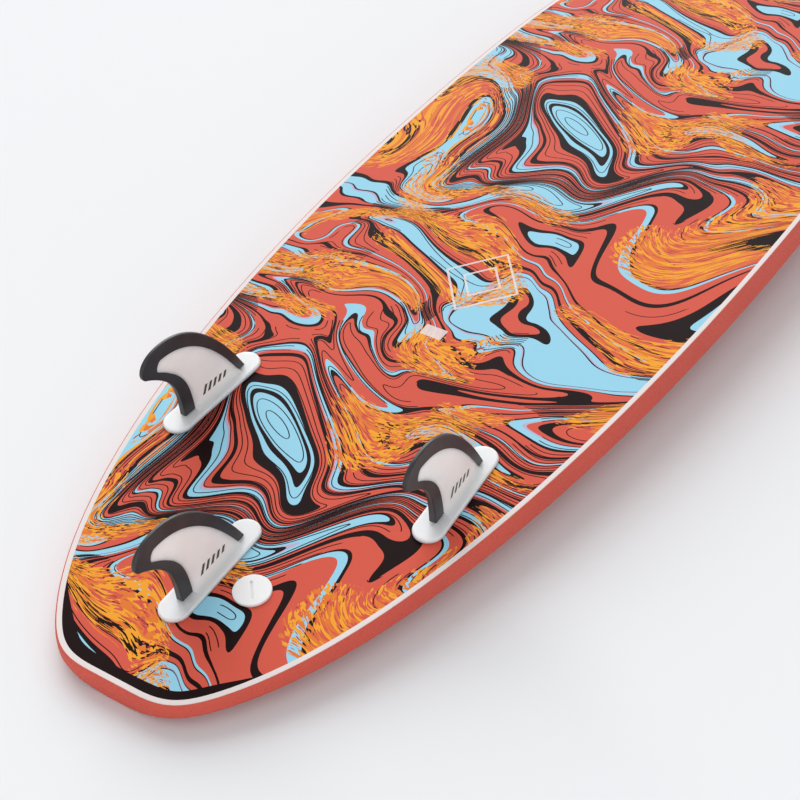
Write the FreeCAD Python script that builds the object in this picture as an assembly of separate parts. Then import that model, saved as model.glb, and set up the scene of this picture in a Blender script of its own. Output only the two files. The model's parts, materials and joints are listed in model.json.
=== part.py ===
"""Soft-top surfboard, 7 ft long, lying deck-down with its hull and three fins up.

Design frame, in millimetres: Y runs from the tail's end (0) to the nose, X is across the board, and
Z = 0 is the flat middle of the hull, with the fins above it and the deck below it. The last step lays
every piece down on its deck, so that the row's origin is the middle of its footprint, on the floor.
"""
import FreeCAD
import Part
import math
import os

Vector = FreeCAD.Vector
Placement = FreeCAD.Placement
Rotation = FreeCAD.Rotation
Z_AXIS = Vector(0, 0, 1)

# Board
LENGTH = 2134.0              # 7 ft 0 in
WIDTH = 551.0                # 21 3/4 in
THICKNESS = 83.0             # at the middle
TAIL_THICKNESS = 28.0
NOSE_THICKNESS = 30.0
TAIL_FOIL = 1.7              # how late the board thins towards its tail and its nose
NOSE_FOIL = 2.6
WIDE_POINT = 1027.0          # distance of the widest place from the tail
FLAT_START = 880.0           # the hull is flat between its two rocker curves
FLAT_END = 1147.0
TAIL_ROCKER_RADIUS = 14600.0
NOSE_ROCKER_RADIUS = 4600.0
RAIL_BULGE = 2.5             # how far the rail's foam stands out past the hull's sheet
APEX_SHARE = 0.44            # depth of the rail's widest line under the hull, as a share of the thickness
FOAM_LIP = 0.8               # foam left showing on the hull's level round the sheet
CENTRE_SHARE = 0.62          # fullness of the deck's crown, as a share of half the width and depth

# Layers and blank
SKIN = 6.0                   # deck and rail foam
SHEET = 2.0                  # hull sheet
SHEET_PROUD = 0.3            # hull sheet above the rail's foam
STRINGER = 4.0
STRINGER_OFFSET = 110.0
SIDE_STRINGER_ENDS = (150.0, 1960.0)
CENTRE_STRINGER_ENDS = (260.0, 2060.0)

# Fins: position of the base's middle, and how far the front end turns in
FIN_PLACES = {
    "centre": (0.0, 158.5, 0.0),
    "left": (-159.0, 367.0, -2.9),
    "right": (159.0, 367.0, 2.9),
}
BASE_SPACING = 113.7         # between the centres of the base's round ends, where the screws are
BASE_WIDTH = 34.5
BASE_THICKNESS = 4.5
BASE_EDGE = 2.2
BLADE_ROOT = 9.0             # blade thickness at the base and at the tip
BLADE_TIP = 4.6
BLADE_EDGE = 1.6
BLADE_HEIGHT = 117.0
BLADE_FILLET = 7.0
EDGE_START = 6.0             # the soft edge starts this far above the hull
FIT_GAP = 0.3                # between pieces of different bodies that lie on each other

# Fin fastening
POST_RADIUS = 6.0
POST_LENGTH = 23.0
INSERT_RADIUS = 4.3
INSERT_BORE = 3.05
INSERT_LENGTH = 14.0
SCREW_RADIUS = 3.0
SCREW_TOP = 6.5              # depth of the screw's end under the hull
SCREW_HEAD_RADIUS = 6.5
SCREW_HEAD = 4.0
HEX_KEY = 4.0                # across flats
HEX_DEPTH = 2.4
TUBE_RADIUS = 9.0
TUBE_BORE = 6.3
TUBE_WEB = 4.0
TUBE_RECESS = 8.0
FLANGE_RADIUS = 15.0
FLANGE = 3.0
FLANGE_SUNK = 1.2            # flange face under the deck's surface

# Leash plug: cup and bar in the deck, slotted bolt through from the hull
LEASH_PLACE = (52.6, 157.5)
BOLT_HEAD_RADIUS = 20.0
BOLT_HEAD = 2.8
BOLT_HEAD_EDGE = 1.0
BOLT_RADIUS = 4.0
SLOT_LENGTH = 23.0
SLOT_WIDTH = 2.4
SLOT_DEPTH = 1.5
SLOT_ANGLE = -49.6
CUP_RADIUS = 15.0
CUP_BORE = 12.5
CUP_DEPTH = 17.0
CUP_FLOOR = 3.0
CUP_WEB = 2.0                # floor left under the blind end of the stem's bore
CUP_FLANGE_RADIUS = 19.0
CUP_FLANGE = 2.5
STEM_RADIUS = 7.0
STEM_BORE = 4.05
BAR_RADIUS = 2.0
BAR_DEPTH = 5.0              # bar's axis under the cup's mouth

# Half of the board's outline, from the tail's flat end to the nose, as cubic curves
TAIL_FLAT = 27.0
TAIL_CORNER = (104.7, 40.1)
CORNER_WAY = math.radians(51.8)


def off_corner(distance):
    """A point on the outline's tangent at the tail's corner."""
    return (TAIL_CORNER[0] + distance * math.cos(CORNER_WAY), TAIL_CORNER[1] + distance * math.sin(CORNER_WAY))


OUTLINE = [
    [(TAIL_FLAT, 0), (TAIL_FLAT + 35.0, 0), off_corner(-41.0), TAIL_CORNER],
    [TAIL_CORNER, off_corner(233.0), (WIDTH / 2, WIDE_POINT - 308), (WIDTH / 2, WIDE_POINT)],
    [(WIDTH / 2, WIDE_POINT), (WIDTH / 2, WIDE_POINT + 620), (165, LENGTH), (0, LENGTH)],
]
INSET_STEPS = 12             # points that carry each curve over to the hull sheet's outline
# Distances of the sections from the tail's end and from the nose's end
TAIL_STATIONS = (0, 1.6, 3.6, 6.5, 12, 22, 43.6, 80, 140, 240, 400, 620, 883, 1150)
NOSE_STATIONS = (780, 590, 430, 300, 200, 125, 75, 42, 22, 12, 6.5, 3.6, 1.6, 0.4)

# Side view of a fin blade, (along, up) from the middle of its base, as cubic curves
BLADE_OUTLINE = [
    [(54.3, 0), (35, 44), (-3, BLADE_HEIGHT), (-63, BLADE_HEIGHT)],
    [(-63, BLADE_HEIGHT), (-97, BLADE_HEIGHT), (-100, 91), (-89, 87.5)],
    [(-89, 87.5), (-48, 62), (-50, 40), (-49.3, 0)],
]
PANEL_OUTLINE = [
    [(44.3, -1), (26, 36), (-8, 100), (-65.5, 100)],
    [(-65.5, 100), (-71, 100), (-77, 89), (-72, 87)],
    [(-72, 87), (-34, 59), (-34, 40), (-33.3, -1)],
]


# ---------------------------------------------------------------- board shape
def bezier_x_y(poles, t):
    """A point of a cubic curve, and its direction."""
    s = 1 - t
    weights = (s ** 3, 3 * t * s * s, 3 * t * t * s, t ** 3)
    point = [sum(w * p[i] for w, p in zip(weights, poles)) for i in (0, 1)]
    slopes = (s * s, 2 * s * t, t * t)
    way = [3 * sum(w * (b[i] - a[i]) for w, a, b in zip(slopes, poles, poles[1:])) for i in (0, 1)]
    return point, way


def half_width(y):
    """Half the board's width at y, and how fast it changes along Y."""
    poles = next(c for c in OUTLINE if y <= c[-1][1])
    low, high = 0.0, 1.0
    for _ in range(50):
        t = (low + high) / 2
        if bezier_x_y(poles, t)[0][1] < y:
            low = t
        else:
            high = t
    (x, _y), (dx, dy) = bezier_x_y(poles, (low + high) / 2)
    return x, dx / max(dy, 1e-6)


def inner_width(y, inset):
    """Half the width at y of the outline moved in by inset."""
    width, slope = half_width(y)
    return max(width - inset * math.hypot(1, slope), 0.4 * width)


def rocker(y):
    """How far the hull's middle lies under its flat part."""
    if y < FLAT_START:
        return TAIL_ROCKER_RADIUS - math.sqrt(TAIL_ROCKER_RADIUS ** 2 - (FLAT_START - y) ** 2)
    if y > FLAT_END:
        return NOSE_ROCKER_RADIUS - math.sqrt(NOSE_ROCKER_RADIUS ** 2 - (y - FLAT_END) ** 2)
    return 0.0


def thickness(y):
    """Board thickness at the middle of its width."""
    if y < WIDE_POINT:
        end, share = TAIL_THICKNESS, (1 - y / WIDE_POINT) ** TAIL_FOIL
    else:
        end, share = NOSE_THICKNESS, ((y - WIDE_POINT) / (LENGTH - WIDE_POINT)) ** NOSE_FOIL
    return end + (THICKNESS - end) * (1 - share)


def apex_depth(y):
    return APEX_SHARE * thickness(y)


def closed_face(points_of_edges):
    """A wire through edges given as lists of points: two make a line, four a cubic curve."""
    edges = []
    for points in points_of_edges:
        if len(points) == 2:
            edges.append(Part.makeLine(*points))
        else:
            curve = Part.BezierCurve()
            curve.setPoles(points)
            edges.append(curve.toShape())
    return Part.Wire(edges)


def crown(y, width, top, deck):
    """The deck's half curve in a section, from the rail's widest line to the middle."""
    k = CENTRE_SHARE
    return [Vector(width, y, top), Vector(width, y, top + k * (deck - top)), Vector(k * width, y, deck),
            Vector(0, y, deck)]


def mirrored(points):
    return [Vector(-p.x, p.y, p.z) for p in reversed(points)]


def outer_section(y):
    """Section of the whole board at y, rounded off within a rail's bulge of the tail and nose ends."""
    hull, apex, deep = -rocker(y), apex_depth(y), thickness(y)
    end = min(y, LENGTH - y)
    full = math.sqrt(1 - (1 - end / RAIL_BULGE) ** 2) if end < RAIL_BULGE else 1.0
    full = max(full, 0.3)
    top, deck = hull - apex * (1 - full), hull - apex - (deep - apex) * full
    width, _slope = half_width(y)
    flat = inner_width(y, RAIL_BULGE - FOAM_LIP)
    rail = [Vector(flat, y, top), Vector(flat + 0.65 * (width - flat), y, top - 0.04 * apex * full),
            Vector(width, y, hull - apex + 0.5 * apex * full), Vector(width, y, hull - apex)]
    half = crown(y, width, hull - apex, deck)
    return closed_face([[Vector(-flat, y, top), Vector(flat, y, top)], rail, half, mirrored(half),
                        mirrored(rail)])


def blank_section(y):
    """Section of the room inside the skin, open upwards through the hull."""
    hull, apex, deep = -rocker(y), apex_depth(y), thickness(y)
    width, above = inner_width(y, SKIN), 20.0
    half = crown(y, width, hull - apex, hull - deep + SKIN)
    side = [Vector(width, y, hull + above), Vector(width, y, hull - apex)]
    return closed_face([[Vector(-width, y, hull + above), Vector(width, y, hull + above)], side, half,
                        mirrored(half), mirrored(side)])


def above_hull(depth, height=60.0):
    """Everything from depth under the hull's surface up to height over it."""
    def arc(y_start, y_end, centre_y, radius):
        points = []
        for y in (y_start, (y_start + y_end) / 2, y_end):
            points.append(Vector(-WIDTH, y, math.sqrt(radius ** 2 - (y - centre_y) ** 2) - radius - depth))
        return Part.Arc(*points).toShape()

    tail_end, nose_end = -30.0, LENGTH + 30.0
    tail = arc(tail_end, FLAT_START, FLAT_START, TAIL_ROCKER_RADIUS)
    nose = arc(FLAT_END, nose_end, FLAT_END, NOSE_ROCKER_RADIUS)
    flat = Part.makeLine(Vector(-WIDTH, FLAT_START, -depth), Vector(-WIDTH, FLAT_END, -depth))
    low_tail, low_nose = tail.Vertexes[0].Point, nose.Vertexes[1].Point
    high_tail, high_nose = Vector(-WIDTH, tail_end, height), Vector(-WIDTH, nose_end, height)
    sides = [Part.makeLine(low_nose, high_nose), Part.makeLine(high_nose, high_tail),
             Part.makeLine(high_tail, low_tail)]
    return Part.Face(Part.Wire([tail, flat, nose] + sides)).extrude(Vector(2 * WIDTH, 0, 0))


def inset_edge(poles, sign):
    """One curve of the outline, moved in by the rail's bulge, on the side that sign says."""
    points, ways = [], []
    for step in range(INSET_STEPS + 1):
        (x, y), (dx, dy) = bezier_x_y(poles, step / INSET_STEPS)
        share = RAIL_BULGE / math.hypot(dx, dy)
        points.append(Vector(sign * (x - dy * share), y + dx * share, -200))
        ways.append(Vector(sign * dx, dy, 0))
    curve = Part.BSplineCurve()
    curve.interpolate(Points=points, InitialTangent=ways[0], FinalTangent=ways[-1])
    return curve.toShape()


def sheet_prism():
    """The hull sheet's outline as a tall prism."""
    right = [inset_edge(poles, 1) for poles in OUTLINE]
    left = [inset_edge(poles, -1) for poles in OUTLINE]
    tail = Part.makeLine(left[0].Vertexes[0].Point, right[0].Vertexes[0].Point)
    return Part.Face(Part.Wire([tail] + right + left[::-1])).extrude(Vector(0, 0, 300))


# ---------------------------------------------------------------- places on the hull
def hull_place(x, y, turn, lift):
    """Placement of a thing that stands on the hull at x, y: its Z is the hull's normal."""
    slope = math.degrees(math.asin((FLAT_START - y) / TAIL_ROCKER_RADIUS))
    turned = Rotation(Vector(1, 0, 0), slope).multiply(Rotation(Z_AXIS, turn))
    normal = turned.multVec(Z_AXIS)
    return Placement(Vector(x, y, -rocker(y)) + normal * lift, turned)


def deck_distance(blank, place, x, y):
    """Depth of the deck's surface along the line through local x, y, square to the hull."""
    start, end = place.multVec(Vector(x, y, 40)), place.multVec(Vector(x, y, -160))
    inside = Part.makeLine(start, end).common(blank)
    return max((v.Point - start).Length for v in inside.Vertexes) - 40


def cylinder(radius, bottom, top, x=0.0, y=0.0):
    return Part.makeCylinder(radius, top - bottom, Vector(x, y, bottom), Z_AXIS)


def ring(radius, bore, bottom, top):
    return cylinder(radius, bottom, top).cut(cylinder(bore, bottom - 1, top + 1))


def placed(shape, place):
    moved = shape.copy()
    moved.Placement = place.multiply(moved.Placement)
    return moved


# ---------------------------------------------------------------- fins
def side_prism(outline, reach=20.0):
    """A fin outline in the YZ plane, closed along its bottom and extruded both ways across."""
    edges = []
    for poles in outline:
        curve = Part.BezierCurve()
        curve.setPoles([Vector(-reach, u, h) for u, h in poles])
        edges.append(curve.toShape())
    front, rear = outline[0][0], outline[-1][-1]
    edges.append(Part.makeLine(Vector(-reach, *rear), Vector(-reach, *front)))
    return Part.Face(Part.Wire(edges)).extrude(Vector(2 * reach, 0, 0))


def taper():
    """The wedge that thins the blade towards its tip."""
    root, tip, top = BLADE_ROOT / 2, BLADE_TIP / 2, BLADE_HEIGHT + 5
    corners = [(-root, 0), (root, 0), (tip, top), (-tip, top), (-root, 0)]
    wire = Part.makePolygon([Vector(x, -130, z) for x, z in corners])
    return Part.Face(wire).extrude(Vector(0, 230, 0))


def round_edges(shape, radius, wanted):
    return shape.makeFillet(radius, [e for e in shape.Edges if wanted(e.BoundBox)])


def fin_base():
    """The base plate: a bar with round ends and a rounded upper edge."""
    half, reach = BASE_WIDTH / 2, BASE_SPACING / 2
    plate = Part.makeBox(BASE_WIDTH, BASE_SPACING, BASE_THICKNESS, Vector(-half, -reach, 0))
    for y in (-reach, reach):
        plate = plate.fuse(cylinder(half, 0, BASE_THICKNESS, 0, y))
    plate = plate.removeSplitter()
    return round_edges(plate, BASE_EDGE, lambda b: b.ZMin > BASE_THICKNESS - 0.01)


def fin_shapes():
    """The stiff body with its base and posts, the soft edge moulded round it, and the inserts."""
    foil = side_prism(BLADE_OUTLINE).common(taper())
    on_side = 0.9 * BLADE_TIP / 2
    foil = round_edges(foil, BLADE_EDGE, lambda b: b.ZMax > 1 and abs(b.Center.x) > on_side
                       and b.XLength < BLADE_ROOT / 2)
    body = foil.common(side_prism(PANEL_OUTLINE)).fuse(fin_base()).removeSplitter()
    body = round_edges(body, BLADE_FILLET, lambda b: abs(b.ZMin - BASE_THICKNESS) < 0.01
                       and abs(b.ZMax - BASE_THICKNESS) < 0.01 and b.XLength < 0.1
                       and abs(b.Center.x) < BLADE_ROOT / 2 + 0.1)
    low = Part.makeBox(60, 240, EDGE_START + 10, Vector(-30, -120, -10))
    edge = foil.cut(body).cut(low)
    inserts = []
    for y in (-BASE_SPACING / 2, BASE_SPACING / 2):
        post = cylinder(POST_RADIUS, -POST_LENGTH, 0.5, 0, y)
        hole = cylinder(INSERT_RADIUS, -POST_LENGTH - 1, 0.2 - SCREW_TOP + 1, 0, y)
        body = body.fuse(post).cut(hole)
        insert = ring(INSERT_RADIUS, INSERT_BORE, -POST_LENGTH, -POST_LENGTH + INSERT_LENGTH)
        insert.translate(Vector(0, y, 0))
        inserts.append(insert)
    return body.removeSplitter(), edge, inserts


def screw_tube(deck):
    """Flanged tube through the foam: the fin's post enters from the hull, the screw from the deck."""
    face, top = FLANGE_SUNK - deck, -(SHEET - SHEET_PROUD) - 0.2
    web = face + TUBE_RECESS
    tube = cylinder(TUBE_RADIUS, face, top).fuse(cylinder(FLANGE_RADIUS, face, face + FLANGE))
    tube = tube.cut(cylinder(TUBE_BORE, web + TUBE_WEB, top + 1))
    tube = tube.cut(cylinder(SCREW_HEAD_RADIUS + 0.6, face - 1, web))
    return tube.cut(cylinder(SCREW_RADIUS + 0.3, face, top)).removeSplitter()


def fin_screw(deck):
    """Button-head screw, seated on the tube's web, with a hexagon socket."""
    web = FLANGE_SUNK - deck + TUBE_RECESS - 0.05
    shank = cylinder(SCREW_RADIUS, web - 1, -SCREW_TOP)
    head = cylinder(SCREW_HEAD_RADIUS, web - SCREW_HEAD, web)
    head = round_edges(head, 1.2, lambda b: b.ZMax < web - SCREW_HEAD + 0.01 and b.XLength > 1)
    corner = HEX_KEY / math.sqrt(3)
    points = [Vector(corner * math.cos(a * math.pi / 3), corner * math.sin(a * math.pi / 3),
                     web - SCREW_HEAD) for a in range(7)]
    socket = Part.Face(Part.makePolygon(points)).extrude(Vector(0, 0, HEX_DEPTH))
    return head.fuse(shank).cut(socket).removeSplitter()


def tube_hole(deck):
    """What a screw tube needs cut out of the sheet, the foam and the skin."""
    face, seat = FLANGE_SUNK - deck, -(SHEET - SHEET_PROUD) - 0.2
    hole = cylinder(TUBE_RADIUS, face, seat).fuse(cylinder(POST_RADIUS + 0.4, seat - 1, 5))
    return hole.fuse(cylinder(FLANGE_RADIUS, -deck - 20, face + FLANGE))


# ---------------------------------------------------------------- leash plug
def leash_cup(deck):
    face, top = -deck, -(SHEET - SHEET_PROUD) - 0.2
    bottom = face + CUP_DEPTH + CUP_FLOOR
    cup = cylinder(CUP_RADIUS, face, bottom).fuse(cylinder(CUP_FLANGE_RADIUS, face, face + CUP_FLANGE))
    cup = cup.fuse(cylinder(STEM_RADIUS, face + CUP_DEPTH, top))
    cup = cup.cut(cylinder(CUP_BORE, face - 1, face + CUP_DEPTH))
    cup = cup.cut(cylinder(STEM_BORE, face + CUP_DEPTH + CUP_WEB, top + 1))
    return cup.cut(leash_bar(deck)).removeSplitter()


def leash_bar(deck):
    length = 2 * CUP_RADIUS - 2.0
    return Part.makeCylinder(BAR_RADIUS, length, Vector(-length / 2, 0, BAR_DEPTH - deck), Vector(1, 0, 0))


def leash_bolt(deck):
    """Bolt with a broad slotted head on the hull, screwed into the cup's stem."""
    shank = cylinder(BOLT_RADIUS, CUP_DEPTH + CUP_WEB - deck + 1.0, 1)
    head = cylinder(BOLT_HEAD_RADIUS, SHEET_PROUD + FIT_GAP, SHEET_PROUD + FIT_GAP + BOLT_HEAD)
    head = round_edges(head, BOLT_HEAD_EDGE, lambda b: b.ZMin > SHEET_PROUD + FIT_GAP + 1 and b.XLength > 1)
    top = SHEET_PROUD + FIT_GAP + BOLT_HEAD
    slot = Part.makeBox(SLOT_LENGTH, SLOT_WIDTH, 2 * SLOT_DEPTH,
                        Vector(-SLOT_LENGTH / 2, -SLOT_WIDTH / 2, top - SLOT_DEPTH))
    slot.rotate(Vector(0, 0, 0), Z_AXIS, SLOT_ANGLE)
    return head.fuse(shank).removeSplitter().cut(slot)


def leash_hole(deck):
    top = -(SHEET - SHEET_PROUD) - 0.2
    hole = cylinder(CUP_RADIUS, -deck - 20, CUP_DEPTH + CUP_FLOOR - deck)
    hole = hole.fuse(cylinder(CUP_FLANGE_RADIUS, -deck - 20, CUP_FLANGE - deck))
    hole = hole.fuse(cylinder(STEM_RADIUS, -deck, top))
    return hole.fuse(cylinder(BOLT_RADIUS + 0.4, top - 1, 5))


# ---------------------------------------------------------------- board pieces
def board_pieces(outer, holes):
    """Skin, four foam strips, three stringers and the hull sheet."""
    seat = above_hull(SHEET - SHEET_PROUD)
    stations = [y for y in sections() if SKIN < y < LENGTH - SKIN]
    room = Part.makeLoft([blank_section(y) for y in [SKIN] + stations + [LENGTH - SKIN]], True)
    prism = sheet_prism()
    blank = room.cut(seat)
    pieces = {"deck_skin": outer.cut(room).cut(prism.common(seat)),
              "hull_sheet": prism.common(seat).cut(above_hull(-SHEET_PROUD))}
    stringers = {"stringer_left": (-STRINGER_OFFSET, SIDE_STRINGER_ENDS),
                 "stringer_centre": (0.0, CENTRE_STRINGER_ENDS),
                 "stringer_right": (STRINGER_OFFSET, SIDE_STRINGER_ENDS)}
    slots = []
    for name, (x, (start, end)) in stringers.items():
        slots.append(Part.makeBox(STRINGER, end - start, 400, Vector(x - STRINGER / 2, start, -300)))
        pieces[name] = blank.common(slots[-1])
    foam = blank.cut(slots)
    bounds = [-WIDTH, -STRINGER_OFFSET, 0.0, STRINGER_OFFSET, WIDTH]
    names = ["foam_outer_left", "foam_inner_left", "foam_inner_right", "foam_outer_right"]
    for name, low, high in zip(names, bounds, bounds[1:]):
        strip = Part.makeBox(high - low, LENGTH + 100, 400, Vector(low, -50, -300))
        pieces[name] = foam.common(strip)
    return {name: shape.cut(holes).Solids[0] for name, shape in pieces.items()}


def sections():
    return sorted(list(TAIL_STATIONS) + [LENGTH - d for d in NOSE_STATIONS])


def build():
    """Every node's shape, in the design frame."""
    outer = Part.makeLoft([outer_section(y) for y in sections()], True)
    nodes, holes = {}, []
    body, edge, inserts = fin_shapes()
    for side, (x, y, turn) in FIN_PLACES.items():
        on_hull = hull_place(x, y, turn, 0.0)
        on_sheet = hull_place(x, y, turn, SHEET_PROUD + FIT_GAP)
        nodes[side + "_fin_body"] = placed(body, on_sheet)
        nodes[side + "_fin_edge"] = placed(edge, on_sheet)
        nodes[side + "_fin_inserts"] = placed(Part.makeCompound(inserts), on_sheet)
        tubes = []
        for end, offset in (("rear", -BASE_SPACING / 2), ("front", BASE_SPACING / 2)):
            deck = deck_distance(outer, on_hull, 0, offset)
            spot = on_hull.multiply(Placement(Vector(0, offset, 0), Rotation()))
            tubes.append(placed(screw_tube(deck), spot))
            nodes[side + "_fin_" + end + "_screw"] = placed(fin_screw(deck), spot)
            holes.append(placed(tube_hole(deck), spot))
            print(side, end, "screw: board is %.1f mm thick here" % deck)
        nodes[side + "_fin_tubes"] = Part.makeCompound(tubes)
    spot = hull_place(*LEASH_PLACE, 0.0, 0.0)
    deck = deck_distance(outer, spot, 0, 0) - FLANGE_SUNK
    print("leash cup's mouth is %.2f mm under the hull" % deck)
    nodes["leash_cup"] = placed(leash_cup(deck), spot)
    nodes["leash_bar"] = placed(leash_bar(deck), spot)
    nodes["leash_bolt"] = placed(leash_bolt(deck), spot)
    holes.append(placed(leash_hole(deck), spot))
    nodes.update(board_pieces(outer, holes))
    return nodes


def lay_down(nodes):
    """Tips the board so that tail and nose both touch the floor, and puts the origin under its middle."""
    drop = (rocker(LENGTH) + NOSE_THICKNESS) - (rocker(0) + TAIL_THICKNESS)
    pitch = -math.degrees(math.atan2(drop, LENGTH - 2 * RAIL_BULGE))
    tipped = {n: placed(s, Placement(Vector(), Rotation(Vector(1, 0, 0), -pitch))) for n, s in nodes.items()}
    box = tipped["deck_skin"].optimalBoundingBox(True, False)
    shift = Placement(Vector(0, -(box.YMin + box.YMax) / 2, -box.ZMin), Rotation())
    print("pitch %.3f deg, shift y %.2f z %.2f" % (pitch, shift.Base.y, shift.Base.z))
    return {n: placed(s, shift) for n, s in tipped.items()}


os.makedirs("parts", exist_ok=True)
for node, shape in lay_down(build()).items():
    print("%-24s solids %d volume %10.0f mm3 valid %s" % (node, len(shape.Solids), shape.Volume, shape.isValid()))
    shape.exportStep("parts/" + node + ".step")
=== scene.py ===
"""Looks of a soft-top surfboard that lies deck-down: printed hull sheet, foam skin, fins and fittings.

Metres throughout. The board's own frame has Y from the tail's end to the nose and Z = 0 on the flat of
the hull; lay() carries its points over to the frame that the CAD nodes are in.
"""
import bmesh
import bpy
import json
import math
import numpy as np
from mathutils import Matrix, Vector


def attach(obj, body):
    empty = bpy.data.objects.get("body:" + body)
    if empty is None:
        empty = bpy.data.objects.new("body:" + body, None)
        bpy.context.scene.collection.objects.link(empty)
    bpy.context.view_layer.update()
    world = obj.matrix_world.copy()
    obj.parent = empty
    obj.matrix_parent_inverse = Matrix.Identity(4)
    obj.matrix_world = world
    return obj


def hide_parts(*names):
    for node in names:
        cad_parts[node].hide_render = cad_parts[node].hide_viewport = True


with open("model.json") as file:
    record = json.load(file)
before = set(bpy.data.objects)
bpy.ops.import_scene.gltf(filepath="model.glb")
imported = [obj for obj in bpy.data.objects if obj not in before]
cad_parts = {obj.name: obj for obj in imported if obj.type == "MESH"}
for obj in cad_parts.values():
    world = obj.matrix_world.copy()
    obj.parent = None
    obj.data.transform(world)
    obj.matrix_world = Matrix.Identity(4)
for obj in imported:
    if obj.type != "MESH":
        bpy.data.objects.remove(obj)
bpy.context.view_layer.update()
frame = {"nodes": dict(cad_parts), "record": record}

# ---------------------------------------------------------------- the board's shape, as in the CAD
LENGTH = 2.134
WIDTH = 0.551
THICKNESS = 0.083
TAIL_THICKNESS = 0.028
NOSE_THICKNESS = 0.030
TAIL_FOIL = 1.7
NOSE_FOIL = 2.6
WIDE_POINT = 1.027
FLAT_START = 0.880
FLAT_END = 1.147
TAIL_ROCKER_RADIUS = 14.6
NOSE_ROCKER_RADIUS = 4.6
RAIL_BULGE = 0.0025
APEX_SHARE = 0.44
FOAM_LIP = 0.0008
SKIN = 0.006                 # thickness of the deck's foam
SHEET = 0.002                # thickness of the hull sheet
SHEET_PROUD = 0.0003         # how far its face stands over the flat of the hull
SOFTENING = 0.0003           # size of the small roundings on the edges of sheet and foam
CROWN_PULL = 0.62            # how square the deck's crown is: 0.55 would be an ellipse

# half of the widest line: three curves that meet at the tail's corner and at the widest place
TAIL_FLAT = 0.027            # where the tail's end starts on the middle line
TAIL_CORNER = (0.1047, 0.0401)
CORNER_WAY = math.radians(51.8)
TAIL_END_PULL = 0.035        # this and the next five: distances of the curves' inner poles from their ends
CORNER_BACK_PULL = 0.041
CORNER_FRONT_PULL = 0.233
WIDE_BACK_PULL = 0.308
WIDE_FRONT_PULL = 0.62
NOSE_PULL = 0.165
OUTLINE_STEPS = (22, 60, 70)
NOSE_CROWDING = 1.5          # the steps of the last curve get shorter towards the nose's end
FLAT_MIDDLE = 1.0135         # the mount hull_flat is here, on the sheet's face

RAIL_STEPS = 9
CROWN_STEPS = 22
SHEET_COLUMNS = 17
DRILL_SIDES = 48
FIN_PLACES = {"centre": (0.0, 0.1585, 0.0), "left": (-0.159, 0.367, -2.9), "right": (0.159, 0.367, 2.9)}
BASE_SPACING = 0.1137
BASE_THICKNESS = 0.0045
LEASH_PLACE = (0.0526, 0.1575)
POST_HOLE = 0.0064
BOLT_HOLE = 0.0044
FLANGE_RADIUS = 0.015
CUP_FLANGE_RADIUS = 0.019
HULL_DRILL = (-0.01, 0.01)   # lowest and highest point of a hole's cutter, over the hull
DECK_DRILL = (-0.12, -0.02)

# ---------------------------------------------------------------- colours, as sRGB
CORAL = (210, 89, 72)
SKY = (150, 206, 227)
BLACK = (26, 8, 9)
AMBER = (237, 160, 48)
ORANGE = (222, 120, 52)
LILAC = (186, 172, 200)
BORDER = (228, 218, 215)
FOAM = (214, 88, 72)
PLASTIC = (238, 236, 234)
PANEL = (238, 234, 233)
SMOKE = (58, 55, 56)
BAR_INK = (58, 54, 54)
# painted shade: the darker colour mixed into the deck foam's pebble valleys
FOAM_VALLEY_SHADE = (150, 52, 42)
BEADS = ((226, 227, 224), (248, 248, 245))
BEAD_SEAM = (196, 196, 190)
WOOD = ((168, 128, 82), (205, 168, 120), (224, 192, 148))
GLUE = (96, 62, 36)
BRASS = (206, 168, 96)
STEEL = (186, 187, 189)


def linear(colour):
    """An sRGB colour, 0 to 255, as linear RGBA."""
    shares = [c / 255 for c in colour]
    return tuple(s / 12.92 if s <= 0.04045 else ((s + 0.055) / 1.055) ** 2.4 for s in shares) + (1.0,)


# ---------------------------------------------------------------- from the board's frame to the CAD's
flat_mount = next(m for m in frame["record"]["mounts"] if m["name"] == "hull_flat")
PITCH = math.asin(-flat_mount["axis"][1])
TIP = Matrix.Rotation(PITCH, 3, "X")
SHIFT = Vector(flat_mount["pos_m"]) - TIP @ Vector((0.0, FLAT_MIDDLE, SHEET_PROUD))


def lay(points):
    """Points of the board's frame, as an array of rows, in the CAD's frame."""
    return np.asarray(points, float).reshape(-1, 3) @ np.array(TIP).T + np.array(SHIFT)


# ---------------------------------------------------------------- outline and section formulas
def off_corner(distance):
    """The point that far from the tail's corner, along the outline's way there."""
    across = TAIL_CORNER[0] + distance * math.cos(CORNER_WAY)
    return across, TAIL_CORNER[1] + distance * math.sin(CORNER_WAY)


WIDEST = (WIDTH / 2, WIDE_POINT)
OUTLINE = [
    [(TAIL_FLAT, 0), (TAIL_FLAT + TAIL_END_PULL, 0), off_corner(-CORNER_BACK_PULL), TAIL_CORNER],
    [TAIL_CORNER, off_corner(CORNER_FRONT_PULL), (WIDTH / 2, WIDE_POINT - WIDE_BACK_PULL), WIDEST],
    [WIDEST, (WIDTH / 2, WIDE_POINT + WIDE_FRONT_PULL), (NOSE_PULL, LENGTH), (0, LENGTH)],
]


def bezier(poles, t):
    """Points of a cubic curve and its directions, for an array of parameters."""
    poles, t = np.array(poles, float), np.asarray(t, float)[:, None]
    s = 1 - t
    points = (s ** 3 * poles[0] + 3 * t * s * s * poles[1] + 3 * t * t * s * poles[2]
              + t ** 3 * poles[3])
    ways = (s * s * (poles[1] - poles[0]) + 2 * s * t * (poles[2] - poles[1])
            + t * t * (poles[3] - poles[2]))
    return points, ways / np.linalg.norm(ways, axis=1, keepdims=True)


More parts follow.
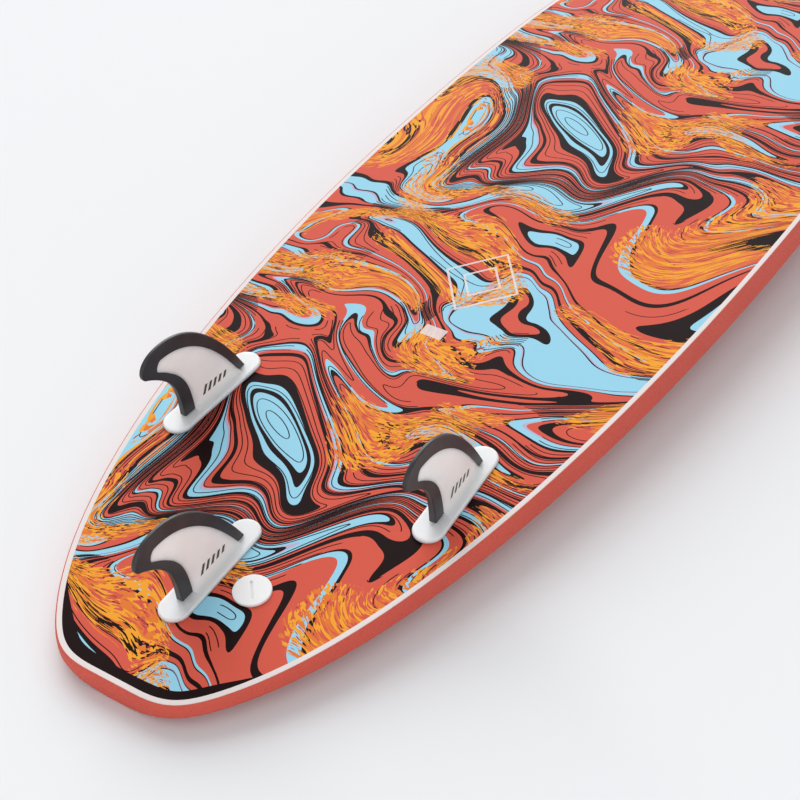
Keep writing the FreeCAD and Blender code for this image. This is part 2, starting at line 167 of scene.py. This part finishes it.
def half_outline():
    """Points on the right half of the widest line, from tail to nose, and their outward normals."""
    points, normals = [], []
    for number, (poles, steps) in enumerate(zip(OUTLINE, OUTLINE_STEPS)):
        at = np.linspace(0, 1, steps + 1)
        if number == len(OUTLINE) - 1:
            at = 1 - (1 - at) ** NOSE_CROWDING
        curve, ways = bezier(poles, at)
        start = 1 if number else 0
        points.append(curve[start:])
        normals.append(np.c_[ways[start:, 1], -ways[start:, 0]])
    return np.vstack(points), np.vstack(normals)


def rocker(y):
    """How far the hull's middle lies under its flat part."""
    tail = TAIL_ROCKER_RADIUS - np.sqrt(TAIL_ROCKER_RADIUS ** 2 - np.clip(FLAT_START - y, 0, None) ** 2)
    nose = NOSE_ROCKER_RADIUS - np.sqrt(NOSE_ROCKER_RADIUS ** 2 - np.clip(y - FLAT_END, 0, None) ** 2)
    return tail + nose


def thickness(y):
    """How thick the board is there, in its middle."""
    towards_tail = np.clip(1 - y / WIDE_POINT, 0, 1) ** TAIL_FOIL
    towards_nose = np.clip((y - WIDE_POINT) / (LENGTH - WIDE_POINT), 0, 1) ** NOSE_FOIL
    tail = TAIL_THICKNESS + (THICKNESS - TAIL_THICKNESS) * (1 - towards_tail)
    nose = NOSE_THICKNESS + (THICKNESS - NOSE_THICKNESS) * (1 - towards_nose)
    return np.where(y < WIDE_POINT, tail, nose)


def apex_depth(y):
    """How far the widest line lies under the hull."""
    return APEX_SHARE * thickness(y)


# ---------------------------------------------------------------- places on the hull
def hull_place(x, y, turn=0.0):
    """Where a thing stands on the hull: Z is the hull's normal there, and Y runs forward."""
    slope = math.asin((FLAT_START - y) / TAIL_ROCKER_RADIUS)
    turned = TIP @ Matrix.Rotation(slope, 3, "X") @ Matrix.Rotation(math.radians(turn), 3, "Z")
    spot = lay((x, y, -float(rocker(y))))[0]
    return Matrix.Translation(Vector(spot)) @ turned.to_4x4()


def screw_places():
    """The six places where a screw comes through, as matrices."""
    found = []
    for x, y, turn in FIN_PLACES.values():
        for end in (-0.5, 0.5):
            found.append(hull_place(x, y, turn) @ Matrix.Translation((0, end * BASE_SPACING, 0)))
    return found


# ---------------------------------------------------------------- mesh helpers
def mesh_object(name, points, faces):
    """A mesh object in the CAD's frame."""
    mesh = bpy.data.meshes.new(name)
    mesh.from_pydata([tuple(p) for p in points], [], [tuple(int(i) for i in f) for f in faces])
    mesh.validate()
    made = bpy.data.objects.new(name, mesh)
    bpy.context.scene.collection.objects.link(made)
    return made


def strip_faces(first, second, closed=False):
    """Quads between two equally long lists of vertex numbers."""
    count = len(first)
    pairs = [(i, (i + 1) % count) for i in range(count if closed else count - 1)]
    return [(first[i], first[j], second[j], second[i]) for i, j in pairs]


def drill(made, drills):
    """Cuts round holes. Each drill is a place, a radius, and its lowest and highest point there."""
    points, faces = [], []
    for place, radius, low, high in drills:
        start = len(points)
        for z in (low, high):
            for side in range(DRILL_SIDES):
                angle = 2 * math.pi * side / DRILL_SIDES
                points.append(place @ Vector((radius * math.cos(angle), radius * math.sin(angle), z)))
        bottom = list(range(start, start + DRILL_SIDES))
        top = list(range(start + DRILL_SIDES, start + 2 * DRILL_SIDES))
        faces += strip_faces(bottom, top, closed=True) + [bottom[::-1], top]
    mesh = bpy.data.meshes.new("drills")
    mesh.from_pydata(points, [], faces)
    cutter = bpy.data.objects.new("drills", mesh)
    bpy.context.scene.collection.objects.link(cutter)
    cut = made.modifiers.new("holes", "BOOLEAN")
    cut.object, cut.operation, cut.solver = cutter, "DIFFERENCE", "EXACT"
    whole = bpy.data.meshes.new_from_object(made.evaluated_get(bpy.context.evaluated_depsgraph_get()))
    made.modifiers.clear()
    made.data = whole
    bpy.data.objects.remove(cutter)


def shade(made, smooth_angle=35):
    """Smooth shading over edges that bend by less than an angle in degrees."""
    made.data.shade_smooth()
    made.data.set_sharp_from_angle(angle=math.radians(smooth_angle))


# ---------------------------------------------------------------- materials
class Look:
    """A material in the making. Most methods add a node and return its output socket."""

    def __init__(self, name):
        self.material = bpy.data.materials.new(name)
        self.material.use_nodes = True
        self.tree = self.material.node_tree
        self.tree.nodes.clear()
        self.shader = self.node("BsdfPrincipled")
        output = self.node("OutputMaterial", Surface=self.shader.outputs[0])
        output.location.x = 400
        self.place = self.node("TexCoord").outputs["Object"]

    def node(self, kind, settings=None, **inputs):
        made = self.tree.nodes.new("ShaderNode" + kind)
        for key, value in (settings or {}).items():
            setattr(made, key, value)
        for key, value in inputs.items():
            self.feed(made.inputs[key.replace("_", " ")], value)
        return made

    def feed(self, socket, value):
        if isinstance(value, bpy.types.NodeSocket):
            self.tree.links.new(value, socket)
        else:
            socket.default_value = value

    def calc(self, operation, *values, clamp=False):
        made = self.node("Math", {"operation": operation, "use_clamp": clamp})
        for socket, value in zip(made.inputs, values):
            self.feed(socket, value)
        return made.outputs[0]

    def vector(self, operation, a, b=None, scale=None):
        made = self.node("VectorMath", {"operation": operation})
        self.feed(made.inputs[0], a)
        if b is not None:
            self.feed(made.inputs[1], b)
        if scale is not None:
            self.feed(made.inputs["Scale"], scale)
        return made.outputs[0]

    def split(self, vector):
        return self.node("SeparateXYZ", Vector=vector).outputs

    def join(self, x, y, z=0.0):
        return self.node("CombineXYZ", X=x, Y=y, Z=z).outputs[0]

    def noise(self, at, scale, detail=0.0, flat=True, output=0):
        settings = {"noise_dimensions": "2D" if flat else "3D"}
        return self.node("TexNoise", settings, Vector=at, Scale=scale, Detail=detail).outputs[output]

    def mix(self, share, a, b):
        made = self.node("Mix", {"data_type": "RGBA"})
        self.feed(made.inputs[0], share)
        self.feed(made.inputs[6], a)
        self.feed(made.inputs[7], b)
        return made.outputs[2]

    def ramp(self, value, stops, interpolation="LINEAR"):
        made = self.node("ValToRGB", Fac=value)
        made.color_ramp.interpolation = interpolation
        elements = made.color_ramp.elements
        while len(elements) < len(stops):
            elements.new(1.0)
        for element, (position, colour) in zip(elements, stops):
            element.position = position
            element.color = colour
        return made.outputs[0]

    def between(self, value, low, high):
        """1 where value is from low to high, and 0 elsewhere."""
        over = self.calc("GREATER_THAN", value, low)
        return self.calc("MULTIPLY", over, self.calc("LESS_THAN", value, high))

    def bump(self, height, strength, distance):
        made = self.node("Bump", Height=height, Strength=strength, Distance=distance)
        self.feed(self.shader.inputs["Normal"], made.outputs[0])

    def finish(self, **values):
        for key, value in values.items():
            self.feed(self.shader.inputs[key.replace("_", " ")], value)
        return self.material


# ---------------------------------------------------------------- marbled print
REPEAT = 0.67                # the print comes again after this length of the board
SLANT = 0.30                 # how fast its streams run towards the nose on their way across
STEP = 0.0004                # over which its slope is measured
LEAST_SLOPE = 0.12
SWELL = 0.035                # how far the bands swell and thin out
HAIRLINE_SPACING = 0.0125
HAIRLINE = 0.0006            # half of a hairline's width
INK_SHARE = 0.6


def rolled(look, at, across=1.0, along=1.0):
    """Points of the print on a drum as big round as its repeat, so that the noises repeat with it."""
    x, y, _z = look.split(at)
    angle = look.calc("MULTIPLY", y, 2 * math.pi / REPEAT)
    radius = along * REPEAT / (2 * math.pi)
    return look.join(look.calc("MULTIPLY", x, across),
                     look.calc("MULTIPLY", look.calc("COSINE", angle), radius),
                     look.calc("MULTIPLY", look.calc("SINE", angle), radius))


def warped(look, at, scale, amount, offset):
    """Points of the print pushed about by a smooth noise."""
    colour = look.noise(look.vector("ADD", rolled(look, at), offset), scale, flat=False, output=1)
    push = look.vector("SCALE", look.vector("SUBTRACT", colour, (0.5, 0.5, 0.5)), scale=amount)
    return look.vector("ADD", at, push)


def marble_field(look, at):
    """The height whose contour lines the print follows, and the warped points it is taken at."""
    x, y, _z = look.split(at)
    leant = look.join(x, look.calc("SUBTRACT", y, look.calc("MULTIPLY", x, SLANT)))
    first = warped(look, leant, 2.6, 0.42, (1.2, 4.9, 7.3))
    second = warped(look, first, 6.0, 0.20, (3.1, 0.7, 2.0))
    third = warped(look, second, 15.0, 0.038, (0.4, 5.2, 1.1))
    return look.noise(rolled(look, third, 2.2, 6.0), 1.0, 0.6, flat=False), second, third


def stretch_of(look, field, at):
    """How fast the height changes there, per metre."""
    slopes = []
    for way in ((STEP, 0.0, 0.0), (0.0, STEP, 0.0)):
        beside, _second, _third = marble_field(look, look.vector("ADD", at, way))
        slopes.append(look.calc("DIVIDE", look.calc("SUBTRACT", beside, field), STEP))
    length = look.node("VectorMath", {"operation": "LENGTH"})
    look.feed(length.inputs[0], look.join(*slopes))
    return look.calc("MAXIMUM", length.outputs["Value"], LEAST_SLOPE)


def marbling(look):
    """Liquid marbling in coral, sky, amber and black, as a colour."""
    coral, sky, black, amber, lilac = [linear(c) for c in (CORAL, SKY, BLACK, AMBER, LILAC)]
    flat = look.vector("MULTIPLY", look.place, (1.0, 1.0, 0.0))
    field, second, third = marble_field(look, flat)
    slope = stretch_of(look, field, flat)
    swell = look.noise(look.vector("ADD", rolled(look, second), (1.3, 4.4, 0.0)), 9.0, flat=False)
    pulled = look.calc("ADD", field, look.calc("MULTIPLY", look.calc("SUBTRACT", swell, 0.5), SWELL))
    bands = [
        (0.0, sky), (0.352, black), (0.362, sky), (0.374, black), (0.388, coral), (0.418, black),
        (0.428, coral), (0.437, lilac), (0.440, sky), (0.456, black), (0.462, coral), (0.492, black),
        (0.500, coral), (0.522, sky), (0.531, black), (0.535, coral), (0.562, black), (0.578, coral),
        (0.592, black), (0.597, sky), (0.612, lilac), (0.615, black), (0.621, sky), (0.665, black),
        (0.680, coral), (0.72, black), (0.728, sky),
    ]
    colour = look.ramp(pulled, bands, "CONSTANT")

    off_line = look.calc("DIVIDE", look.calc("PINGPONG", field, HAIRLINE_SPACING / 2), slope)
    clustered = look.calc("GREATER_THAN", swell, 0.48)
    hairline = look.calc("MULTIPLY", look.calc("LESS_THAN", off_line, HAIRLINE), clustered)
    colour = look.mix(hairline, colour, black)

    strokes = look.noise(rolled(look, third, 85.0, 520.0), 1.0, 1.5, flat=False)
    wide = look.vector("ADD", rolled(look, second, 1.4, 2.6), (8.4, 3.3, 1.1))
    zone = look.noise(wide, 4.6, flat=False)
    strength = look.node("MapRange", Value=zone, From_Min=0.535, From_Max=0.62).outputs[0]
    helped = look.calc("ADD", strokes, look.calc("MULTIPLY", strength, 0.13))
    painted = look.calc("GREATER_THAN", helped, 0.585)
    painted = look.calc("MULTIPLY", painted, look.calc("GREATER_THAN", strength, 0.02))
    tone = look.noise(rolled(look, third, 40.0, 240.0), 1.0, 1.0, flat=False)
    warm = look.mix(look.calc("GREATER_THAN", tone, 0.47), linear(ORANGE), amber)
    colour = look.mix(painted, colour, warm)
    gap = look.calc("LESS_THAN", strokes, 0.33)
    inked = look.calc("MULTIPLY", gap, look.calc("GREATER_THAN", strength, 0.3))
    return look.mix(inked, colour, look.mix(INK_SHARE, black, coral))


BORDER_WIDTH = 0.0056
MARK_PLACE = (0.0, 0.682)    # a plain outlined lozenge on the hull's middle line
MARK_REACH = (0.050, 0.062)
PATCH_PLACE = (0.0, 0.575)   # and a small plain patch behind it
PATCH_REACH = (0.014, 0.009)
OUTER_LINE = (0.93, 1.0)     # the lozenge's two lines, as shares of its reach
INNER_LINE = (0.46, 0.53)
MARK_COVER = 0.8
BAND_FADE = (0.095, 0.03)    # from the tail's end, where the dark band starts and is whole


def hull_mark(look):
    """1 on a plain double lozenge and on a small patch, and 0 elsewhere."""
    x, y, _z = look.split(look.place)

    def off(place, reach):
        middle = lay((*place, 0.0))[0]
        shares = []
        for value, centre, half in zip((x, y), middle, reach):
            away = look.calc("ABSOLUTE", look.calc("SUBTRACT", value, float(centre)))
            shares.append(look.calc("DIVIDE", away, half))
        return shares

    lozenge = look.calc("ADD", *off(MARK_PLACE, MARK_REACH))
    lines = look.calc("ADD", look.between(lozenge, *OUTER_LINE), look.between(lozenge, *INNER_LINE))
    patch = look.calc("LESS_THAN", look.calc("MAXIMUM", *off(PATCH_PLACE, PATCH_REACH)), 1.0)
    return look.calc("ADD", lines, patch, clamp=True)


def printed_sheet():
    """The hull's sheet: marbling, a dark band round the tail that tapers off, and the white border."""
    look = Look("printed_sheet")
    edge = look.node("Attribute", {"attribute_name": "edge"}).outputs["Fac"]
    print_colour = marbling(look)
    _x, y, _z = look.split(look.place)
    tail = look.calc("SUBTRACT", y, float(SHIFT[1]))
    fade = look.node("MapRange", {"interpolation_type": "SMOOTHSTEP"}, Value=tail,
                     From_Min=BAND_FADE[0], From_Max=BAND_FADE[1])
    wobble = look.calc("ADD", 0.003, look.calc("MULTIPLY", look.noise(look.place, 14.0), 0.014))
    band = look.calc("ADD", BORDER_WIDTH - 0.001, look.calc("MULTIPLY", wobble, fade.outputs[0]))
    colour = look.mix(look.calc("LESS_THAN", edge, band), print_colour, linear(BLACK))
    colour = look.mix(look.calc("LESS_THAN", edge, BORDER_WIDTH), colour, linear(BORDER))
    colour = look.mix(look.calc("MULTIPLY", hull_mark(look), MARK_COVER), colour, linear(BORDER))
    grain = look.noise(look.place, 900.0, 1.0, flat=False)
    waves = look.noise(look.place, 24.0, 2.0, flat=False)
    look.bump(look.calc("ADD", grain, look.calc("MULTIPLY", waves, 3.0)), 0.10, 0.0004)
    worn = look.node("MapRange", Value=waves, To_Min=0.38, To_Max=0.48).outputs[0]
    return look.finish(Base_Color=colour, Roughness=worn, Specular_IOR_Level=0.035)


# ---------------------------------------------------------------- other materials
def voronoi(look, at, scale, feature="F1", output="Distance"):
    return look.node("TexVoronoi", {"feature": feature}, Vector=at, Scale=scale).outputs[output]


def varied(look, colour, scale, spread):
    """A colour that drifts a little darker and lighter over the surface."""
    share = look.noise(look.place, scale, 3.0, flat=False)
    dark = tuple(c * (1 - spread) for c in colour[:3]) + (1.0,)
    light = tuple(min(1.0, c * (1 + spread)) for c in colour[:3]) + (1.0,)
    return look.ramp(share, [(0.3, dark), (0.7, light)])


def deck_foam():
    """Coral closed-cell foam with the fine pebbled skin that rollers press into it, and painted shade in
    the pebbles' valleys.
    """
    look = Look("deck_foam")
    pebble = voronoi(look, look.place, 640.0)
    valley = look.calc("POWER", look.calc("MULTIPLY", pebble, 1.25, clamp=True), 2.0)
    cloudy = varied(look, linear(FOAM), 11.0, 0.04)
    # painted shade: the colour is darkened in the valleys between pebbles, on top of the bump's own
    # shading
    shaded = look.mix(look.calc("MULTIPLY", valley, 0.22), cloudy, linear(FOAM_VALLEY_SHADE))
    fine = look.noise(look.place, 2600.0, 1.0, flat=False)
    height = look.calc("SUBTRACT", look.calc("MULTIPLY", fine, 0.2), valley)
    look.bump(height, 0.45, 0.00025)
    rough = look.node("MapRange", Value=valley, To_Min=0.52, To_Max=0.74).outputs[0]
    return look.finish(Base_Color=shaded, Roughness=rough, Specular_IOR_Level=0.3)


def core_foam():
    """Expanded polystyrene: pressed beads of a few millimetres, each a little lighter or darker."""
    look = Look("core_foam")
    bead = voronoi(look, look.place, 230.0)
    tint = look.split(voronoi(look, look.place, 230.0, output="Color"))[0]
    colour = look.ramp(tint, [(0.0, linear(BEADS[0])), (1.0, linear(BEADS[1]))])
    seam = look.calc("GREATER_THAN", bead, 0.52)
    colour = look.mix(look.calc("MULTIPLY", seam, 0.3), colour, linear(BEAD_SEAM))
    look.bump(look.calc("MULTIPLY", bead, -1.0), 0.6, 0.0008)
    return look.finish(Base_Color=colour, Roughness=0.72, Specular_IOR_Level=0.3)


PLY = 0.0013                 # thickness of one ply of a stringer
GLUE_LINE = 0.00012


def plywood():
    """Birch plywood: plies across its thickness, fine grain along the board."""
    look = Look("plywood")
    x, y, z = look.split(look.place)
    along = look.join(look.calc("MULTIPLY", x, 300.0), look.calc("MULTIPLY", y, 9.0),
                      look.calc("MULTIPLY", z, 260.0))
    grain = look.noise(along, 1.0, 4.0, flat=False)
    wood = look.ramp(grain, [(share, linear(tint)) for share, tint in zip((0.3, 0.5, 0.7), WOOD)])
    glue = look.calc("LESS_THAN", look.calc("PINGPONG", x, PLY), GLUE_LINE)
    colour = look.mix(look.calc("MULTIPLY", glue, 0.6), wood, linear(GLUE))
    look.bump(grain, 0.25, 0.0002)
    return look.finish(Base_Color=colour, Roughness=0.62)


def moulded(name, colour, haze):
    """Satin moulded plastic with a fine spark-eroded grain, a little translucent."""
    look = Look(name)
    grain = look.noise(look.place, 1500.0, 2.0, flat=False)
    flow = look.noise(look.place, 38.0, 2.0, flat=False)
    look.bump(look.calc("ADD", grain, look.calc("MULTIPLY", flow, 1.5)), 0.12, 0.0002)
    rough = look.node("MapRange", Value=flow, To_Min=0.30, To_Max=0.44).outputs[0]
    look.finish(Base_Color=varied(look, linear(colour), 30.0, 0.02), Roughness=rough,
                Subsurface_Weight=haze, Subsurface_Radius=(0.012, 0.011, 0.010), Subsurface_Scale=1.0,
                Specular_IOR_Level=0.4)
    return look


BARS = 5                     # slanted bars of the mark on each side of a fin
BAR_PITCH = 0.0084
BAR_THICK = 0.0042
BAR_START = -0.019
BAR_FOOT = 0.0135
BAR_SLANT = 0.55
BAR_HEIGHT = 0.0115
BAR_DROP = 0.11              # how much lower each bar is than the one behind it, for its distance
BLADE_START = 0.001          # over the base, where the plastic turns warmer, and where it is all warm
BLADE_WHOLE = 0.010


def fin_plastic(side):
    """A fin's stiff body: white base, warmer blade, and a plain mark of slanted bars near the base."""
    look = moulded(side + "_fin_plastic", PLASTIC, 1.0)
    local = hull_place(*FIN_PLACES[side]).inverted()
    turned = look.node("Mapping", {"vector_type": "POINT"}, Vector=look.place,
                       Location=local.to_translation(), Rotation=local.to_euler("XYZ"))
    _across, along, up = look.split(turned.outputs[0])
    plastic = look.shader.inputs["Base Color"].links[0].from_socket
    blade = look.node("MapRange", {"interpolation_type": "SMOOTHSTEP"}, Value=up,
                      From_Min=BASE_THICKNESS + BLADE_START,
                      From_Max=BASE_THICKNESS + BLADE_WHOLE).outputs[0]
    colour = look.mix(blade, plastic, varied(look, linear(PANEL), 30.0, 0.03))
    rise = look.calc("SUBTRACT", up, BAR_FOOT)
    lean = look.calc("MULTIPLY", rise, BAR_SLANT)
    run = look.calc("SUBTRACT", look.calc("SUBTRACT", along, BAR_START), lean)
    bar = look.calc("LESS_THAN", look.calc("FLOORED_MODULO", run, BAR_PITCH), BAR_THICK)
    height = look.calc("SUBTRACT", BAR_HEIGHT, look.calc("MULTIPLY", run, BAR_DROP))
    mark = look.calc("MULTIPLY", bar, look.calc("LESS_THAN", rise, height))
    mark = look.calc("MULTIPLY", mark, look.between(run, 0.0, BARS * BAR_PITCH))
    mark = look.calc("MULTIPLY", mark, look.calc("GREATER_THAN", rise, 0.0))
    look.feed(look.shader.inputs["Base Color"], look.mix(mark, colour, linear(BAR_INK)))
    return look.material


def soft_edge():
    """Smoky charcoal elastomer, satin."""
    look = Look("soft_edge")
    grain = look.noise(look.place, 1300.0, 2.0, flat=False)
    flow = look.noise(look.place, 45.0, 2.0, flat=False)
    look.bump(look.calc("ADD", grain, flow), 0.15, 0.0002)
    rough = look.node("MapRange", Value=flow, To_Min=0.28, To_Max=0.42).outputs[0]
    return look.finish(Base_Color=varied(look, linear(SMOKE), 40.0, 0.18), Roughness=rough,
                       Specular_IOR_Level=0.35)


def turned_metal(name, colour, scratch):
    """Machined metal: fine brushed scratches, patchy polish."""
    look = Look(name)
    x, y, z = look.split(look.place)
    fine = look.join(look.calc("MULTIPLY", x, 900.0), look.calc("MULTIPLY", y, 900.0),
                     look.calc("MULTIPLY", z, 6000.0))
    lines = look.noise(fine, 1.0, 2.0, flat=False)
    patches = look.noise(look.place, 120.0, 2.0, flat=False)
    look.bump(lines, scratch, 0.00006)
    rough = look.node("MapRange", Value=patches, To_Min=0.22, To_Max=0.40).outputs[0]
    return look.finish(Base_Color=varied(look, linear(colour), 90.0, 0.06), Roughness=rough,
                       Metallic=1.0)


def dress_nodes():
    """Gives every CAD node that shows its material."""
    shared = {
        "core_foam": core_foam(),
        "plywood": plywood(),
        "white_plastic": moulded("white_plastic", PLASTIC, 0.3).material,
        "soft_edge": soft_edge(),
        "brass": turned_metal("brass", BRASS, 0.3),
        "steel": turned_metal("steel", STEEL, 0.3),
    }
    own = {side + "_fin_body": fin_plastic(side) for side in FIN_PLACES}
    for subpart in frame["record"]["subparts"]:
        name, slot = subpart["node"], subpart["material_slot"]
        finish = own.get(name) or shared.get(slot)
        if finish:
            materials = frame["nodes"][name].data.materials
            materials.clear()
            materials.append(finish)


# ---------------------------------------------------------------- hull sheet
# rings of the sheet, as insets from its edge and heights over its face
SHEET_SIDE = ((0.0, -SHEET), (0.0, -SOFTENING), (0.00015, -0.00005), (0.0005, 0.0))
SHEET_INSETS = (0.006, 0.012, 0.020, 0.030)


def sheet_piece():
    """The printed sheet: its side, rings on its face that follow the edge, and rows straight across."""
    widest, normal = half_outline()
    edge = widest - normal * RAIL_BULGE
    rings = [*SHEET_SIDE, *((inset, 0.0) for inset in SHEET_INSETS)]
    columns = np.linspace(1, -1, SHEET_COLUMNS)
    points, lines = [], []

    def add_line(inset, depth):
        """A line round both sides, from the left of the tail's end by way of the nose to its right."""
        half = edge - normal * inset
        half[-1, 0] = 0.0
        both = np.vstack([half * (-1, 1), half[-2::-1]])
        z = SHEET_PROUD + depth - rocker(both[:, 1])
        lines.append(list(range(len(points), len(points) + len(both))))
        points.extend(np.c_[both, z])

    for inset, depth in rings:
        add_line(inset, depth)
    faces = []
    for outer, inner in zip(lines, lines[1:]):
        faces += strip_faces(outer, inner, closed=True)
    count = len(widest)
    inner = lines[-1]
    previous = None
    for row in range(count - 1):
        left, right = inner[row], inner[-1 - row]
        numbers = [right]
        for share in columns[1:-1]:
            numbers.append(len(points))
            points.append(points[right] * (share, 1, 1))
        numbers.append(left)
        if previous:
            faces += strip_faces(numbers, previous)
        previous = numbers
    faces += [(previous[i], previous[i + 1], inner[count - 1]) for i in range(len(previous) - 1)]
    bottom = lines[0]
    for row in range(count - 1):
        here, there = (bottom[row], bottom[-1 - row]), (bottom[row + 1], bottom[-2 - row])
        faces.append((*here, there[1], there[0]) if there[0] != there[1] else (*here, there[0]))
    made = mesh_object("hull_sheet_print", lay(points), faces)
    drills = [(place, POST_HOLE, *HULL_DRILL) for place in screw_places()]
    drill(made, drills + [(hull_place(*LEASH_PLACE), BOLT_HOLE, *HULL_DRILL)])
    shade(made)
    distance = edge_distance(made, lay(np.array(points)[lines[1]]))
    attribute = made.data.attributes.new("edge", "FLOAT", "POINT")
    attribute.data.foreach_set("value", distance.astype(np.float32))
    made.data.materials.append(printed_sheet())
    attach(made, "board")
    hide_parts("hull_sheet")


def edge_distance(made, ring):
    """Each vertex's distance from a closed line of points, seen from above."""
    places = np.array([v.co for v in made.data.vertices])[:, None, :2]
    start = ring[None, :, :2]
    way = np.roll(start, -1, 1) - start
    along = np.clip(((places - start) * way).sum(2) / np.maximum((way ** 2).sum(2), 1e-12), 0, 1)
    return np.linalg.norm(places - start - along[..., None] * way, axis=2).min(1)


# ---------------------------------------------------------------- foam skin
LEAST_FULLNESS = 0.3
LIP_POLES = ((1, 0), (0.35, 0.04), (0, 0.5), (0, 1))   # inset and depth, as shares of lip and apex
MERGE_DISTANCE = 0.00002
SLIVER = 0.00001


def fullness(y):
    """How much of its thickness the board has so near to its rounded tail's or nose's end."""
    end = np.minimum(y, LENGTH - y)
    share = np.clip(end / RAIL_BULGE, 0, 1)
    return np.maximum(np.sqrt(1 - (1 - share) ** 2), LEAST_FULLNESS)


def crown_rows(widest, depth_lost):
    """Rows from a line round the board to its deck's middle, along the deck's crown."""
    x, y = widest[:, 0], widest[:, 1]
    apex = apex_depth(y)
    deep = apex + (thickness(y) - depth_lost - apex) * fullness(y)
    at = np.linspace(0, 1, CROWN_STEPS + 1)[1:]
    poles = [(1, 0), (1, CROWN_PULL), (CROWN_PULL, 1), (0, 1)]
    shares, _ways = bezier(poles, at)
    return [np.c_[x * across, y, -rocker(y) - apex - (deep - apex) * down] for across, down in shares]


def rail_rows(widest, normal):
    """Rows from the sheet's edge over the lip and round the rail to its widest line."""
    y = widest[:, 1]
    apex = apex_depth(y)
    lip = RAIL_BULGE - FOAM_LIP
    ledge = SHEET - SHEET_PROUD
    steps = ((SKIN, ledge), (RAIL_BULGE, ledge), (RAIL_BULGE, SOFTENING), (RAIL_BULGE - SOFTENING, 0.0))
    rows = []
    for inset, depth in steps:
        line = widest - normal * inset
        rows.append(np.c_[line, -rocker(line[:, 1]) - depth])
    poles = [(share * lip, down) for share, down in LIP_POLES]
    shares, _ways = bezier(poles, np.linspace(0, 1, RAIL_STEPS + 1))
    for inset, down in shares:
        line = widest - normal * inset
        rows.append(np.c_[line, -rocker(line[:, 1]) - apex * down])
    return rows


def skin_piece():
    """The coral foam: a closed shell round rails and deck, with holes for the tubes and the leash cup."""
    widest, normal = half_outline()
    inner = widest - normal * SKIN
    inner[-1, 0] = 0.0
    wall = np.c_[inner, -rocker(inner[:, 1]) - apex_depth(inner[:, 1])]
    rows = crown_rows(inner, SKIN)[::-1] + [wall] + rail_rows(widest, normal) + crown_rows(widest, 0.0)
    count = len(widest)
    points = np.vstack([np.vstack([row * (-1, 1, 1), row[-2::-1]]) for row in rows])
    around = 2 * count - 1
    lines = [list(range(k * around, (k + 1) * around)) for k in range(len(rows))]
    faces = []
    for outer, inside in zip(lines, lines[1:]):
        faces += strip_faces(inside, outer, closed=True)
    made = mesh_object("foam_skin", lay(points), faces)
    work = bmesh.new()
    work.from_mesh(made.data)
    bmesh.ops.remove_doubles(work, verts=work.verts, dist=MERGE_DISTANCE)
    bmesh.ops.dissolve_degenerate(work, edges=work.edges, dist=SLIVER)
    bmesh.ops.recalc_face_normals(work, faces=work.faces)
    work.to_mesh(made.data)
    work.free()
    drills = [(place, FLANGE_RADIUS, *DECK_DRILL) for place in screw_places()]
    drill(made, drills + [(hull_place(*LEASH_PLACE), CUP_FLANGE_RADIUS, *DECK_DRILL)])
    shade(made, 40)
    made.data.materials.append(deck_foam())
    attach(made, "board")
    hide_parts("deck_skin")


# ---------------------------------------------------------------- camera, floor and light
CAMERA_TARGET = Vector((0.03328, -0.61555, 0.07208))
CAMERA_DISTANCE = 1.8442
CAMERA_AZIMUTH = math.radians(34.457)
CAMERA_ELEVATION = math.radians(39.275)
CAMERA_ROLL = math.radians(-1.864)
CAMERA_LENS = 76.14
SENSOR = 36.0
FLOOR_SIZE = 60.0
FLOOR_COLOUR = (0.8, 0.81, 0.82, 1.0)
SKY_LIGHT = (0.96, 0.98, 1.0, 1.0)
SKY_STRENGTH = 0.59


def set_camera():
    """A camera that looks at its target from an azimuth and elevation, turned a little about its view."""
    back = Vector((math.sin(CAMERA_AZIMUTH) * math.cos(CAMERA_ELEVATION),
                   -math.cos(CAMERA_AZIMUTH) * math.cos(CAMERA_ELEVATION), math.sin(CAMERA_ELEVATION)))
    right = Vector((math.cos(CAMERA_AZIMUTH), math.sin(CAMERA_AZIMUTH), 0.0))
    up = back.cross(right)
    turned_right = math.cos(CAMERA_ROLL) * right + math.sin(CAMERA_ROLL) * up
    turned_up = back.cross(turned_right)
    axes = Matrix((turned_right, turned_up, back)).transposed().to_4x4()
    camera = bpy.data.objects.new("camera", bpy.data.cameras.new("camera"))
    camera.matrix_world = Matrix.Translation(CAMERA_TARGET + back * CAMERA_DISTANCE) @ axes
    camera.data.lens = CAMERA_LENS
    camera.data.sensor_width = SENSOR
    camera.data.clip_end = 200.0
    bpy.context.scene.collection.objects.link(camera)
    bpy.context.scene.camera = camera


def add_sun(name, way, spread, energy):
    """A distant soft light that shines along way; spread is its width in degrees."""
    sun = bpy.data.objects.new(name, bpy.data.lights.new(name, "SUN"))
    sun.data.angle = math.radians(spread)
    sun.data.energy = energy
    sun.rotation_mode = "QUATERNION"
    sun.rotation_quaternion = Vector(way).to_track_quat("-Z", "Y")
    bpy.context.scene.collection.objects.link(sun)


def set_stage():
    """A pale floor, an even pale sky, and two soft lights."""
    bpy.ops.mesh.primitive_plane_add(size=FLOOR_SIZE, location=(0.0, 0.0, 0.0))
    floor = bpy.context.object
    floor.name = "floor"
    look = Look("floor")
    floor.data.materials.append(look.finish(Base_Color=FLOOR_COLOUR, Roughness=0.9))
    world = bpy.data.worlds.new("studio")
    bpy.context.scene.world = world
    world.use_nodes = True
    background = world.node_tree.nodes["Background"]
    background.inputs["Color"].default_value = SKY_LIGHT
    background.inputs["Strength"].default_value = SKY_STRENGTH
    add_sun("key", way=(0.80, -0.86, -0.80), spread=56, energy=2.45)
    add_sun("fill", way=(-0.50, 0.85, -0.34), spread=60, energy=0.85)
    bpy.context.scene.view_settings.view_transform = "Standard"


set_camera()
set_stage()
sheet_piece()
skin_piece()
dress_nodes()
